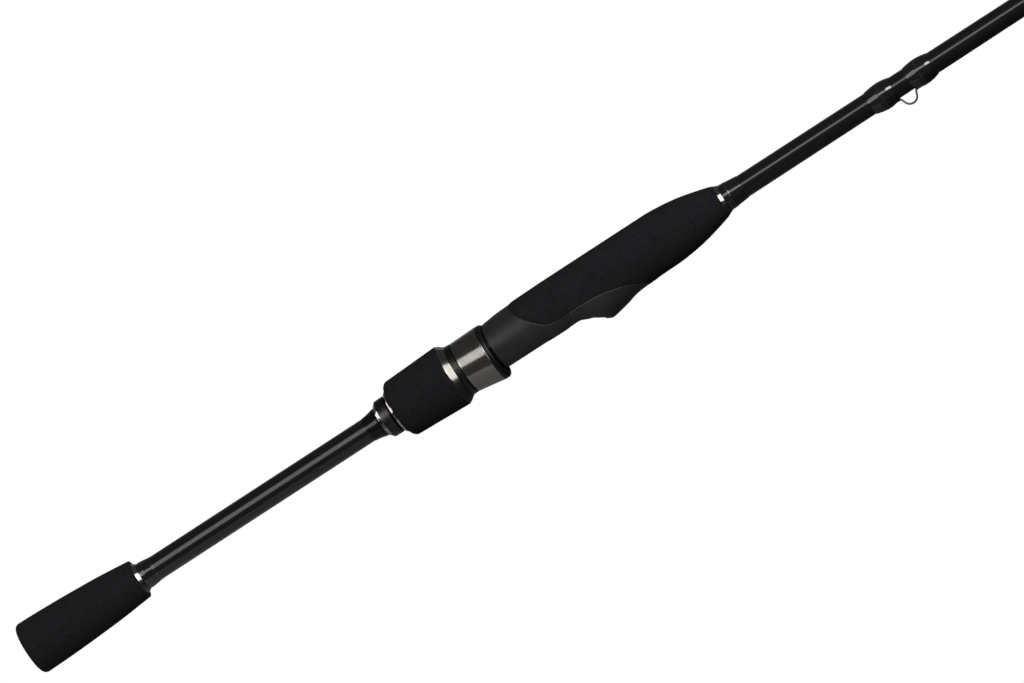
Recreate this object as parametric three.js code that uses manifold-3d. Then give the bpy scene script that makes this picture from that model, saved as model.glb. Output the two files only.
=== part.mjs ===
// Spinning rod: split-grip handle with a hidden-thread locking nut, sliding hood
// and palm-style reel seat, and a two-piece blank carrying seven line guides and
// a tip-top. No reel is fitted.
//
// Frame: millimetres, +X along the rod from butt to tip, -Z the reel and guide
// side, +Z up. The origin is the centre of the butt's flat end face.
import * as THREE from 'three';
import { mergeVertices } from 'three/addons/utils/BufferGeometryUtils.js';
import Module from 'manifold-3d';

const wasm = await Module();
wasm.setup();

// ---------------------------------------------------------------- dimensions
const SEG = 20;                 // facets round the grips and butt blank
const SEG_NUT = 24;             // facets round the nut, hood and seat
const SEG_TIP = 12;             // facets round the tip section
const SEG_BORE = 12;            // facets of the seat's bore
const SEG_THREAD = 16;          // facets round the thread
const GAP = 0.15;               // clearance between touching pieces

// blank (x, outer radius), butt section and tip section
const BLANK_BUTT = [[2.6, 5.8], [70, 5.78], [190, 5.75], [300, 5.62], [390, 5.45], [435, 5.38],
  [536, 5.15], [760, 4.55], [985, 3.92], [1050, 3.8]];
const BLANK_WALL = 1.0;
const FERRULE_START = 985;      // base of the tip section, which slips over the butt section
const FERRULE_END = 1053;
const FERRULE_CLEAR = 0.2;
const BLANK_TIP = [[985, 5.15], [1053, 4.95], [1110, 4.62], [1300, 3.82], [1465, 3.1], [1605, 2.52],
  [1735, 1.98], [1855, 1.48], [1962, 1.05], [1974, 1.0]];

// butt grip
const BUTT_GRIP_LEN = 60.45;
const BUTT_GRIP = [[0, 10.6], [0.7, 12.2], [2.3, 12.87], [6, 12.85], [15, 12.62], [29, 12.0], [40, 11.37],
  [51, 10.45], [59.6, 9.6], [60.45, 8.9]];
const PLUG_R = 8.2;
const PLUG_T = 2.0;

// seat rear trim
const TRIM_B_R = 9.35;

// locking nut
const THREAD_PITCH = 2.5;
const THREAD_CREST = 9.2;
const THREAD_ROOT = 8.5;
const THREAD_CLEAR = 0.3;
const NUT_X0 = 201.5;
const NUT_X1 = 231.7;
const NUT_SKIRT_R = 9.65;
const NUT_SKIRT_END = 212;
const NUT_OUTER_R = 10.4;
const NUT_FLANGE_R = 13.6;
const NUT_GRIP = [[201.6, 10.85], [202.6, 12.9], [204.3, 14.05], [216, 14.52], [231.0, 15.15], [231.8, 14.95]];

// barrel under the hood
const PIPE_R = 10.7;
const PIPE_X0 = 231.4;
const PIPE_X1 = 255.0;
const PIPE_FLAT_Z = -10.2;
const SEAT_BORE = 7.6;
const KEYWAY_W = 2.8;
const KEY_W = 2.2;

// hood
const HOOD_X0 = 237.95;
const HOOD_X1 = 254.8;
const HOOD_COVER_END = 252.0;

// seat body and foregrip envelope: x, top radius, half width, bottom depth, lower exponent
const PAD_Z = 10.75;
const SEAT_X0 = 255.2;
const SEAT_X1 = 344.5;
const CORE_R = 10.3;
const ENV = [
  [255.2, 11.65, 11.65, 11.65, 2], [259.1, 12.15, 12.15, 12.15, 2], [270.2, 12.93, 12.93, 12.93, 2],
  [273, 13.25, 13.1, 13.1, 2], [284, 13.52, 13.35, 13.35, 2], [295.2, 13.6, 13.4, 13.4, 2],
  [297.7, 13.6, 13.4, 11.9, 3.1], [303.4, 13.6, 13.25, 15.4, 3.0], [306.2, 13.6, 13.15, 17.2, 2.9],
  [308.2, 13.6, 13.1, 17.75, 2.7], [311.7, 13.6, 13.1, 17.2, 2.5], [317.1, 13.6, 13.2, 16.1, 2.3],
  [322.2, 13.6, 13.35, 14.75, 2.15], [327.7, 13.6, 13.5, 14.1, 2.05], [333.2, 13.6, 13.6, 14.0, 2],
  [344, 13.58, 13.58, 13.6, 2], [352, 13.12, 13.12, 13.12, 2], [360.6, 12.0, 12.0, 12.0, 2],
  [368.8, 10.2, 10.2, 10.2, 2], [374.3, 8.75, 8.75, 8.75, 2], [378.3, 7.3, 7.3, 7.3, 2]];
// seam between the foregrip (above) and the seat body (below), x and z
const SEAM = [[270.4, 12.6], [271.8, 8.6], [273.45, 5.4], [275.3, 2.9], [278.1, -0.2], [281.0, -2.75], [284.4, -4.45],
  [292.1, -5.0], [303.8, -4.84], [309.5, -5.3], [315.2, -6.4], [320.8, -7.85], [326.2, -10.35],
  [328.9, -12.0], [332.7, -14.2]];

// hook keeper
const KEEPER_WIRE_R = 0.4;

// guides: name, ring centre x, ring outer radius, ring inner radius, drop below the blank, double foot
const GUIDES = [
  ['guide_1', 846, 10.0, 7.6, 20.5, true], ['guide_2', 1118, 6.4, 4.7, 13.0, true],
  ['guide_3', 1308, 4.5, 3.2, 8.0, false], ['guide_4', 1472, 4.0, 2.9, 6.4, false],
  ['guide_5', 1612, 3.8, 2.9, 5.6, false], ['guide_6', 1741, 3.8, 2.9, 5.2, false],
  ['guide_7', 1861, 3.8, 2.9, 5.0, false]];
const GUIDE_BAND_T = 0.75;
const GUIDE_LEG_R = 0.62;
const TIPTOP_X = 1977.2;
const TIPTOP_RING = [3.4, 2.35];

// ------------------------------------------------------------------- helpers
const finish = {
  eva: { color: 0x141416, roughness: 0.95, metalness: 0 },
  softTouch: { color: 0x323030, roughness: 0.6, metalness: 0 },
  blackPlastic: { color: 0x17171a, roughness: 0.45, metalness: 0 },
  gunmetal: { color: 0x6f6a63, roughness: 0.22, metalness: 1 },
  steel: { color: 0x9a9a9c, roughness: 0.28, metalness: 1 },
  darkRing: { color: 0x3a3b40, roughness: 0.4, metalness: 1 },
  blank: { color: 0x1a1a1c, roughness: 0.12, metalness: 0 },
  wrap: { color: 0x19191b, roughness: 0.1, metalness: 0 },
  ceramic: { color: 0x2b2c30, roughness: 0.15, metalness: 0 },
  arbor: { color: 0x8c8f90, roughness: 0.9, metalness: 0 },
};

// shared vertices merged, slivers dropped, faces turned outward
function tidy(geometry) {
  let g = geometry.clone();
  for (const name of Object.keys(g.attributes)) if (name !== 'position') g.deleteAttribute(name);
  g = mergeVertices(g, 1e-4);
  const pos = g.getAttribute('position');
  const src = g.index.array;
  const keep = [];
  let vol = 0;
  const a = new THREE.Vector3(), b = new THREE.Vector3(), c = new THREE.Vector3();
  for (let i = 0; i < src.length; i += 3) {
    const [p, q, r] = [src[i], src[i + 1], src[i + 2]];
    if (p === q || q === r || p === r) continue;
    keep.push(p, q, r);
    a.fromBufferAttribute(pos, p); b.fromBufferAttribute(pos, q); c.fromBufferAttribute(pos, r);
    vol += a.dot(b.cross(c));
  }
  if (vol < 0) for (let i = 0; i < keep.length; i += 3) [keep[i + 1], keep[i + 2]] = [keep[i + 2], keep[i + 1]];
  g.setIndex(keep);
  return g;
}

const toSolid = (g) => {
  const t = tidy(g);
  return new wasm.Manifold(new wasm.Mesh({ numProp: 3,
    vertProperties: new Float32Array(t.getAttribute('position').array),
    triVerts: new Uint32Array(t.index.array) }));
};

function toGeometry(solid) {
  const m = solid.getMesh();
  const g = new THREE.BufferGeometry();
  const v = new Float32Array(m.vertProperties.length / m.numProp * 3);
  for (let i = 0; i < v.length / 3; i++) for (let k = 0; k < 3; k++) v[3 * i + k] = m.vertProperties[m.numProp * i + k];
  g.setAttribute('position', new THREE.BufferAttribute(v, 3));
  g.setIndex(Array.from(m.triVerts));
  return g;
}

const union = (...parts) => parts.map(toSolid).reduce((s, p) => s.add(p));

// a bore of the given clear radius when it is made of flat facets
const bore = (r, seg) => r / Math.cos(Math.PI / seg);

// solid of revolution about X; profile is [x, r] pairs, closed or from axis to axis
function turned(profile, seg = SEG) {
  const g = new THREE.LatheGeometry(profile.map(([x, r]) => new THREE.Vector2(r, x)), seg);
  g.rotateZ(-Math.PI / 2);
  return tidy(g);
}

// a sleeve: outer [x, r] pairs walked forward, inner pairs walked back, closed
const sleeve = (outer, inner, seg = SEG) => turned([...outer, ...[...inner].reverse(), outer[0]], seg);

// as a sleeve, but each profile point has a top and a bottom radius
function eccentric(profile, seg, weight) {
  const pts = [...profile, profile[0]];
  const g = new THREE.LatheGeometry(pts.map(([x, rt]) => new THREE.Vector2(rt, x)), seg);
  const pos = g.getAttribute('position');
  const n = pts.length;
  for (let i = 0; i < pos.count; i++) {
    const [, rt, rb] = pts[i % n];
    const th = 2 * Math.PI * Math.floor(i / n) / seg;
    const r = rt + (rb - rt) * weight(th);
    pos.setXYZ(i, r * Math.sin(th), pos.getY(i), r * Math.cos(th));
  }
  g.rotateZ(-Math.PI / 2);
  return tidy(g);
}

// a lofted body: section(x, theta) gives [y, z] round each station
function lofted(xs, section, seg) {
  const pts = [[xs[0], 0], ...xs.map((x) => [x, 1]), [xs[xs.length - 1], 0]];
  const g = new THREE.LatheGeometry(pts.map(([x, r]) => new THREE.Vector2(r, x)), seg);
  const pos = g.getAttribute('position');
  const n = pts.length;
  for (let i = 0; i < pos.count; i++) {
    const [x, r] = pts[i % n];
    const [y, z] = r ? section(x, 2 * Math.PI * Math.floor(i / n) / seg) : [0, 0];
    pos.setXYZ(i, x, y, z);
  }
  return tidy(g);
}

const box = (x0, x1, y0, y1, z0, z1) => tidy(new THREE.BoxGeometry(x1 - x0, y1 - y0, z1 - z0)
  .translate((x0 + x1) / 2, (y0 + y1) / 2, (z0 + z1) / 2));

// an outline in x and z, run across from y0 to y1
function acrossY(outline, y0, y1) {
  const shape = new THREE.Shape(outline.map(([x, z]) => new THREE.Vector2(x, z)));
  const g = new THREE.ExtrudeGeometry(shape, { depth: y1 - y0, bevelEnabled: false, steps: 1 });
  g.rotateX(Math.PI / 2);         // x, z outline; depth along -y
  g.translate(0, y1, 0);
  return tidy(g);
}

// a round bar along a curve
function bar(points, radius, sides = 6, steps = 4) {
  const path = points.length === 2
    ? new THREE.LineCurve3(new THREE.Vector3(...points[0]), new THREE.Vector3(...points[1]))
    : new THREE.CatmullRomCurve3(points.map((p) => new THREE.Vector3(...p)), false, 'centripetal');
  const shape = new THREE.Shape();
  for (let k = 0; k < sides; k++) {
    const a = 2 * Math.PI * (k + 0.5) / sides;
    shape[k ? 'lineTo' : 'moveTo'](radius * Math.cos(a), radius * Math.sin(a));
  }
  shape.closePath();
  return tidy(new THREE.ExtrudeGeometry(shape, { steps: points.length === 2 ? 1 : steps, bevelEnabled: false, extrudePath: path }));
}

// radius of a tabulated profile at x
function radiusAt(table, x) {
  for (let i = 1; i < table.length; i++) {
    if (x <= table[i][0]) {
      const [x0, r0] = table[i - 1], [x1, r1] = table[i];
      return r0 + (r1 - r0) * (x - x0) / (x1 - x0);
    }
  }
  return table[table.length - 1][1];
}

// right-hand vee thread about X, one closed solid; every profile is crest, root
function screw(x0, turns, pitch, rCrest, rRoot, seg) {
  const n = turns * seg;
  const v = [];
  const crest = (i) => i;
  const root = (i) => n + seg + 1 + i;
  // a positive turn about +X carries +Z toward -Y
  const put = (x, r, i) => { const a = 2 * Math.PI * i / seg; v.push(x, -r * Math.sin(a), r * Math.cos(a)); };
  for (let i = 0; i <= n + seg; i++) put(x0 + pitch * i / seg, rCrest, i);
  for (let i = 0; i <= n; i++) put(x0 + pitch * (i / seg + 0.5), rRoot, i);
  const A = v.length / 3; v.push(x0 + pitch / 2, 0, 0);
  const B = v.length / 3; v.push(x0 + pitch * (turns + 0.5), 0, 0);
  const t = [];
  const quad = (a, b, c, d) => t.push(a, c, b, a, d, c);
  for (let i = 0; i < n; i++) {
    quad(crest(i), crest(i + 1), root(i + 1), root(i));
    quad(root(i), root(i + 1), crest(i + 1 + seg), crest(i + seg));
  }
  for (let i = 0; i < seg; i++) {
    t.push(A, crest(i), crest(i + 1));
    t.push(B, crest(n + i + 1), crest(n + i));
  }
  t.push(A, root(0), crest(0), A, crest(seg), root(0));
  t.push(B, crest(n), root(n), B, root(n), crest(n + seg));
  const g = new THREE.BufferGeometry();
  g.setAttribute('position', new THREE.BufferAttribute(new Float32Array(v), 3));
  g.setIndex(t);
  return tidy(g);
}

const rod = new THREE.Group();
function add(name, geometry, look, parent = rod) {
  const g = geometry instanceof THREE.BufferGeometry ? geometry : toGeometry(geometry);
  g.computeVertexNormals();
  const mesh = new THREE.Mesh(g, new THREE.MeshStandardMaterial(finish[look]));
  mesh.name = name;
  parent.add(mesh);
  return mesh;
}

// --------------------------------------------------------------- butt blank
const buttInner = BLANK_BUTT.map(([x, r]) => [x, r - BLANK_WALL]);
add('blank_butt_section', sleeve(BLANK_BUTT, buttInner.filter((p, i) => i % 3 === 0)), 'blank');
const rb = (x) => radiusAt(BLANK_BUTT, x);

// ---------------------------------------------------------------- butt grip
add('butt_grip', turned([...BUTT_GRIP, [BUTT_GRIP_LEN, 5.95], [PLUG_T + 0.3, 5.95], [PLUG_T + 0.3, PLUG_R + 0.15],
  [0, PLUG_R + 0.15], BUTT_GRIP[0]]), 'eva');
add('butt_end_plug', turned([[0, 0], [0, PLUG_R - 0.5], [0.4, PLUG_R], [PLUG_T, PLUG_R], [PLUG_T, 4.5], [13, 4.5],
  [14, 3.9], [14, 0]]), 'blackPlastic');
add('butt_winding_check', sleeve([[60.6, 7.65], [62.4, 6.5]], [[60.6, 5.95], [62.4, 5.95]]), 'steel');
add('butt_wrap', sleeve([[62.55, 6.5], [65.6, 6.35], [69.9, 5.98]], [[62.55, 5.9], [69.9, 5.88]]), 'wrap');

// ------------------------------------------------------- seat rear trim stack
add('seat_rear_wrap', sleeve([[186.0, 5.98], [188.4, 6.2], [192.6, 7.0]], [[186.0, 5.87], [192.6, 5.87]]), 'wrap');
add('seat_rear_trim_ring', sleeve([[192.75, 7.0], [193.65, 8.3], [194.75, 9.25]], [[192.75, 6.0], [194.75, 6.0]], SEG_NUT), 'steel');
add('seat_end_collar', sleeve([[194.9, TRIM_B_R], [199.3, TRIM_B_R]], [[194.9, 6.0], [199.3, 6.0]], SEG_NUT), 'darkRing');

// ------------------------------------------------------- threaded seat barrel
{
    const thread = toSolid(screw(190.0 + THREAD_PITCH * 2, 18, THREAD_PITCH, THREAD_CREST, THREAD_ROOT, SEG_THREAD))
    .intersect(toSolid(turned([[200.1, 0], [200.1, 12], [231.6, 12], [231.6, 0]], 8)));
  const core = toSolid(turned([[199.45, 0], [199.45, 8.35], [PIPE_X0, 8.35], [PIPE_X0, PIPE_R - 0.5], [PIPE_X0 + 0.5, PIPE_R],
    [PIPE_X1, PIPE_R], [PIPE_X1, 9.3], [262, 9.3], [262, 0]], SEG_NUT));
  let barrel = thread.add(core)
    .subtract(toSolid(turned([[190, 0], [190, SEAT_BORE], [270, SEAT_BORE], [270, 0]], SEG_BORE)))
    .subtract(toSolid(box(PIPE_X0 - 1, PIPE_X1 + 0.001, -14, 14, -14, PIPE_FLAT_Z)));
  for (const s of [-1, 1]) {
    barrel = barrel.subtract(toSolid(box(PIPE_X0 - 1, PIPE_X1 + 0.001, Math.min(s * 9.75, s * 14), Math.max(s * 9.75, s * 14), -KEYWAY_W / 2, KEYWAY_W / 2)));
  }
  add('threaded_barrel', barrel, 'blackPlastic');
}

// the blank is centred in the seat on three arbor rings
for (const [name, x0, x1] of [['seat_arbor_rear', 203, 215], ['seat_arbor_middle', 238, 250], ['seat_arbor_front', 322, 336]]) {
  add(name, sleeve([[x0, SEAT_BORE - 0.3], [x1, SEAT_BORE - 0.3]], [[x0, bore(5.86, SEG_BORE)], [x1, bore(5.86, SEG_BORE)]], SEG_BORE), 'arbor');
}

// --------------------------------------------------------------- locking nut
add('nut_rear_trim_ring', sleeve([[200.3, 10.2], [201.4, 10.6]], [[200.3, NUT_SKIRT_R], [201.4, NUT_SKIRT_R]], SEG_NUT), 'steel');
{
    const blankNut = toSolid(turned([[NUT_X0, 0], [NUT_X0, NUT_OUTER_R], [230.4, NUT_OUTER_R], [230.4, NUT_FLANGE_R], [NUT_X1, NUT_FLANGE_R], [NUT_X1, 0]], SEG_NUT));
  const cutter = toSolid(screw(190.0 + THREAD_PITCH * 2, 18, THREAD_PITCH, THREAD_CREST + THREAD_CLEAR, THREAD_ROOT + THREAD_CLEAR, SEG_THREAD));
  const skirt = toSolid(turned([[NUT_X0 - 1, 0], [NUT_X0 - 1, NUT_SKIRT_R], [NUT_SKIRT_END, NUT_SKIRT_R], [NUT_SKIRT_END, 0]], SEG_NUT));
  const mouth = toSolid(turned([[229.8, 0], [229.8, NUT_SKIRT_R], [NUT_X1 + 1, NUT_SKIRT_R], [NUT_X1 + 1, 0]], SEG_NUT));
  const nutNose = toSolid(turned([[230.9, 0], [230.9, 11.2], [NUT_X1 + 1, 11.2], [NUT_X1 + 1, 0]], SEG_NUT));
  add('locking_nut_sleeve', blankNut.subtract(cutter).subtract(skirt).subtract(mouth).subtract(nutNose), 'blackPlastic');
}
add('nut_grip', turned([...NUT_GRIP, [231.8, NUT_FLANGE_R + GAP], [230.2, NUT_FLANGE_R + GAP], [230.2, NUT_OUTER_R + GAP],
  [201.6, NUT_OUTER_R + GAP], NUT_GRIP[0]], SEG_NUT), 'eva');
// the collar traps the hood's flange against the nut's front flange
add('nut_front_collar', turned([[231.95, 14.9], [232.6, 14.55], [235.35, 12.62], [235.35, 12.05], [233.65, 12.05], [233.65, 12.95],
  [231.95, 12.95], [231.95, 14.9]], SEG_NUT), 'gunmetal');

// ---------------------------------------------------------------------- hood
const toward = (th) => ((1 - Math.cos(th)) / 2) ** 1.6;
add('hood_slip_ring', sleeve([[235.5, 12.7], [237.9, 12.6]], [[235.5, 11.85], [237.9, 11.85]], SEG_NUT), 'darkRing');
{
  const shell = toSolid(eccentric([
    [232.15, 12.6, 12.6], [233.4, 12.6, 12.6], [233.4, 11.7, 11.7], [HOOD_X0, 11.7, 11.75],
    [HOOD_COVER_END + 0.1, 12.0, 13.85], [HOOD_COVER_END + 0.1, 12.76, 14.85], [253.6, 12.62, 14.5],
    [HOOD_X1, 11.85, 13.2],
    [HOOD_X1, 11.05, 12.5], [HOOD_COVER_END, 11.05, 12.9], [239.2, 11.05, 11.25], [232.15, 11.05, 11.05]], SEG_NUT, toward));
  const keys = [-1, 1].map((s) => toSolid(box(239.5, 251.5, Math.min(s * 10.1, s * 11.35), Math.max(s * 10.1, s * 11.35), -KEY_W / 2, KEY_W / 2)));
  add('hood_body', keys.reduce((b, k) => b.add(k), shell), 'blackPlastic');
}
add('hood_cover', eccentric([[HOOD_X0 + 0.5, 12.46, 12.66], [245, 12.6, 13.55], [HOOD_COVER_END, 12.75, 14.72],
  [HOOD_COVER_END, 12.15, 14.02], [HOOD_X0 + 0.5, 11.88, 12.0]], SEG_NUT, toward), 'gunmetal');

// ------------------------------------------------------ seat body and foregrip
function envAt(x) {
  for (let i = 1; i < ENV.length; i++) {
    if (x <= ENV[i][0] + 1e-9) {
      const t = (x - ENV[i - 1][0]) / (ENV[i][0] - ENV[i - 1][0]);
      return ENV[i].map((v, k) => ENV[i - 1][k] + (v - ENV[i - 1][k]) * t);
    }
  }
  return ENV[ENV.length - 1];
}
// round above; below, a superellipse that is cut flat at the reel foot pad
function envSection(x, th) {
  const [, top, half, deep, n] = envAt(x);
  const s = Math.sin(th), c = Math.cos(th);
  if (c >= 0) return [half * s + (top - half) * s * c, top * c];
  const y = half * Math.sign(s) * Math.abs(s) ** (2 / n);
  let z = -deep * Math.abs(c) ** (2 / n);
  if (x < 296) z = Math.max(z, -PAD_Z);
  return [y, z];
}
const envelope = toSolid(lofted(ENV.map((e) => e[0]), envSection, SEG_NUT));
const coreBar = (r, x1) => toSolid(turned([[SEAT_X0, 0], [SEAT_X0, r], [x1, r], [x1, 0]], SEG_NUT));
{
  const below = SEAM.map(([x, z]) => [x - 0.22, z - 0.25]);
  const region = toSolid(acrossY([[255, -30], [332.5, -30], ...[...below].reverse(), [270.15, 30], [255, 30]], -25, 25));
  const pocket = toSolid(acrossY([[288, -PAD_Z], [321.5, -PAD_Z], [321.5, -13.2], [305.4, -15.75], [305.4, -24], [288, -24]], -6.7, 6.7));
  const socket = toSolid(turned([[250, 0], [250, 9.5], [262.2, 9.5], [262.2, 0]], SEG_NUT));
  const through = toSolid(turned([[250, 0], [250, SEAT_BORE], [350, SEAT_BORE], [350, 0]], SEG_BORE));
  add('reel_seat_body', envelope.intersect(region).add(coreBar(CORE_R, SEAT_X1)).subtract(pocket).subtract(socket).subtract(through), 'softTouch');
}
{
  const region = toSolid(acrossY([...SEAM, [333, -30], [378.2, -30], [378.2, 30], [270.4, 30]], -25, 25));
  const through = toSolid(turned([[250, 0], [250, 5.85], [390, 5.85], [390, 0]], SEG));
  add('foregrip', envelope.intersect(region).subtract(coreBar(CORE_R + 0.25, SEAT_X1 + 0.4)).subtract(through), 'eva');
}
add('front_winding_check', sleeve([[378.5, 7.2], [380.2, 6.55]], [[378.5, 5.65], [380.2, 5.65]]), 'steel');
add('front_check_wrap', sleeve([[380.35, 6.5], [384.5, 6.2], [389.5, 5.68]], [[380.35, 5.6], [389.5, 5.58]]), 'wrap');

// --------------------------------------------------------------- hook keeper
{
  const zf = -(rb(466) + 0.62);
  const keeper = bar([[461.5, 0, zf], [466, 0, zf], [470.6, 0, zf - 0.02], [472.3, 0, zf - 0.9], [473.0, 0, -8.3], [474.3, 0, -9.8],
    [475.9, 0, -10.2], [477.5, 0, -9.8], [478.8, 0, -8.3], [479.5, 0, zf - 0.9], [481.2, 0, zf - 0.02], [485.8, 0, zf], [490.0, 0, zf]], KEEPER_WIRE_R, 6, 22);
  add('hook_keeper', keeper, 'steel');
}

// a thread winding under epoxy: thin over the blank, fuller where a foot lies beneath
function winding(name, table, x0, x1, crown, foot, seg, clear = 0.1) {
  const rA = radiusAt(table, x0) + clear, rB = radiusAt(table, x1) + clear;
  const L = x1 - x0;
  const outer = [[x0, rA + 0.18], [x0 + 0.25 * L, rA + crown], [x0 + 0.75 * L, rB + crown], [x1, rB + 0.18]];
  const inner = [[x1, rB], [x0, rA]];
  const swell = foot ? foot.swell : 0;
  const prof = [...outer.map(([x, r]) => [x, r, r + swell]), ...inner.map(([x, r]) => [x, r, r])];
  let solid = toSolid(eccentric(prof, seg, (th) => Math.max(0, -Math.cos(th)) ** 1.5));
  if (foot) solid = solid.subtract(toSolid(foot.cut));
  return add(name, solid, 'wrap');
}
{
  const zf = rb(466) + 0.62;
  winding('keeper_wrap_rear', BLANK_BUTT, 459.2, 471.2, 0.75, { swell: 0.75, cut: box(460.9, 475, -0.62, 0.62, -(zf + 0.62), -(zf - 0.62) + 0.1) }, SEG);
  winding('keeper_wrap_front', BLANK_BUTT, 480.3, 491.7, 0.7, { swell: 0.75, cut: box(476, 490.6, -0.62, 0.62, -(zf + 0.62), -(zf - 0.62) + 0.1) }, SEG);
}

// --------------------------------------------------------------- tip section
{
  const inner = [[FERRULE_START, radiusAt(BLANK_BUTT, FERRULE_START) + FERRULE_CLEAR],
    [FERRULE_END - 1, 3.8 + FERRULE_CLEAR], [FERRULE_END + 1, 3.7], [1300, 2.9], [1700, 1.2]];
  add('blank_tip_section', turned([[1700, 0], ...[...inner].reverse(), ...BLANK_TIP, [1974, 0]], SEG_TIP), 'blank');
}
winding('ferrule_wrap', BLANK_TIP, 986, 1008, 0.5, null, SEG_TIP);

// -------------------------------------------------------------------- guides
function footBar(x0, x1, z, w0, w1, t) {
  // a flat foot that narrows toward its free end
  const shape = new THREE.Shape([[x0, -w0 / 2], [x1, -w1 / 2], [x1, w1 / 2], [x0, w0 / 2]].map((p) => new THREE.Vector2(...p)));
  return tidy(new THREE.ExtrudeGeometry(shape, { depth: t, bevelEnabled: false, steps: 1 }).translate(0, 0, z));
}
const FOOT_T = 0.6;
function guide([name, xc, ro, ri, drop, twin]) {
  const table = xc < FERRULE_START ? BLANK_BUTT : BLANK_TIP;
  const seg = xc < FERRULE_START ? SEG : SEG_TIP;
  const ringSeg = ro > 5 ? 16 : 12;
  const R = radiusAt(table, xc);
  const zc = -(R + drop);
  const place = (g) => g.translate(xc, 0, zc);
  const w = ro > 5 ? 2.0 : 1.5;
  const bandIn = bore(ro + 0.1, ringSeg);
  const band = place(sleeve([[-w / 2, bandIn + GUIDE_BAND_T], [w / 2, bandIn + GUIDE_BAND_T]], [[-w / 2, bandIn], [w / 2, bandIn]], ringSeg));
  const mid = (ro + ri) / 2;
  add(`${name}_ring`, place(turned([[-w / 2 - 0.15, mid], [-0.25, ri], [0.25, ri], [w / 2 + 0.15, mid], [w / 2, ro], [-w / 2, ro], [-w / 2 - 0.15, mid]], ringSeg)), 'ceramic');
  const parts = [band];
  const rr = bandIn + GUIDE_BAND_T / 2;
  const footZ = (x) => -(radiusAt(table, x) + 0.3);
  const run = drop * 0.85;                 // rear legs lean forward to the ring
  const footLen = ro > 5 ? 15 : 10;
  const [w0, w1, cutW] = ro > 5 ? [2.2, 1.3, 1.35] : [1.5, 1.0, 0.95];   // foot widths, half width of its channel
  const legR = ro > 5 ? GUIDE_LEG_R : 0.48;
  const xr = xc - run;
  const zr = footZ(xr - footLen) - FOOT_T;
  for (const s of [-1, 1]) {
    const a = ro > 5 ? 0.85 : 0.75;        // where the leg meets the band, from straight up
    parts.push(bar([[xc, s * rr * Math.sin(a), zc + rr * Math.cos(a)], [xc - run * 0.42, s * rr * Math.sin(a) * 0.72, zc + rr * Math.cos(a) + (zr - zc - rr * Math.cos(a)) * 0.48],
      [xr + 1.2, s * 0.55, zr + 0.1], [xr - 1.6, s * 0.35, zr + FOOT_T / 2]], legR, 5, 3));
    if (twin) {
      const xf = xc + run * 0.32;
      const zt = footZ(xf) - FOOT_T;
      parts.push(bar([[xc, s * rr * Math.sin(a * 0.6), zc + rr * Math.cos(a * 0.6)], [xc + run * 0.16, s * rr * Math.sin(a * 0.6) * 0.7, zc + rr * Math.cos(a * 0.6) + (zt - zc - rr * Math.cos(a * 0.6)) * 0.55],
        [xf - 0.8, s * 0.6, zt + 0.05], [xf + 1.8, s * 0.35, zt + FOOT_T / 2]], legR, 5, 3));
    }
  }
  parts.push(footBar(xr - footLen, xr, zr, w1, w0, FOOT_T));
  if (twin) {
    const xf = xc + run * 0.32;
    parts.push(footBar(xf + footLen, xf, footZ(xf) - FOOT_T, w1, w0, FOOT_T));
  }
  let frame = union(...parts);
  // keep every leg clear of the blank
  frame = frame.subtract(toSolid(turned([[xc - 60, 0], [xc - 60, radiusAt(table, xc - 60) + 0.2], [xc, R + 0.2], [xc + 60, radiusAt(table, xc + 60) + 0.2], [xc + 60, 0]], seg)));
  frame = frame.subtract(toSolid(place(turned([[-3, 0], [-3, bandIn], [3, bandIn], [3, 0]], ringSeg))));
  add(`${name}_frame`, frame, 'steel');
  const cutRear = box(xr - footLen - 0.25, xr + 4, -cutW, cutW, zr - 0.25, zr + FOOT_T + 0.45);
  winding(`${name}_wrap_rear`, table, xr - footLen - 2.6, xr - 2.0, 0.42, { swell: 1.15, cut: cutRear }, seg);
  if (twin) {
    const xf = xc + run * 0.32;
    const zt = footZ(xf) - FOOT_T;
    const cutFront = box(xf - 4, xf + footLen + 0.25, -cutW, cutW, zt - 0.25, zt + FOOT_T + 0.45);
    winding(`${name}_wrap_front`, table, xf + 2.2, xf + footLen + 2.6, 0.42, { swell: 1.15, cut: cutFront }, seg);
  }
}
GUIDES.forEach(guide);

// ------------------------------------------------------------------- tip-top
{
  const [ro, ri] = TIPTOP_RING;
  const seg = 12;
  const zc = -4.6;
  const bandIn = bore(ro + 0.1, seg);
  const place = (g) => g.translate(TIPTOP_X, 0, zc);
  const tube = turned([[1958, 0], [1958, 1.75], [1976.0, 1.75], [1976.8, 1.3], [1976.8, 0]], seg);
  const parts = [tube, place(sleeve([[-0.75, bandIn + 0.65], [0.75, bandIn + 0.65]], [[-0.75, bandIn], [0.75, bandIn]], seg))];
  for (const s of [-1, 1]) {
    parts.push(bar([[1960.5, s * 1.55, -0.6], [1966, s * 2.2, -2.0], [1972, s * 3.3, -3.6], [TIPTOP_X, s * (bandIn + 0.3), zc]], 0.45, 5, 3));
  }
  let frame = union(...parts);
  frame = frame.subtract(toSolid(turned([[1950, 0], [1950, 1.35], [1975.2, 1.35], [1975.2, 0]], seg)));
  frame = frame.subtract(toSolid(place(turned([[-2, 0], [-2, bandIn], [2, bandIn], [2, 0]], seg))));
  add('tip_top_frame', frame, 'steel');
  const mid = (ro + ri) / 2;
  add('tip_top_ring', place(turned([[-0.9, mid], [-0.25, ri], [0.25, ri], [0.9, mid], [0.75, ro], [-0.75, ro], [-0.9, mid]], seg)), 'ceramic');
  winding('tip_top_wrap', BLANK_TIP, 1950.5, 1957.8, 0.4, null, SEG_TIP);
}

export default rod;
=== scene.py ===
import math

import bpy
import numpy as np
from mathutils import Matrix, Vector


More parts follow.
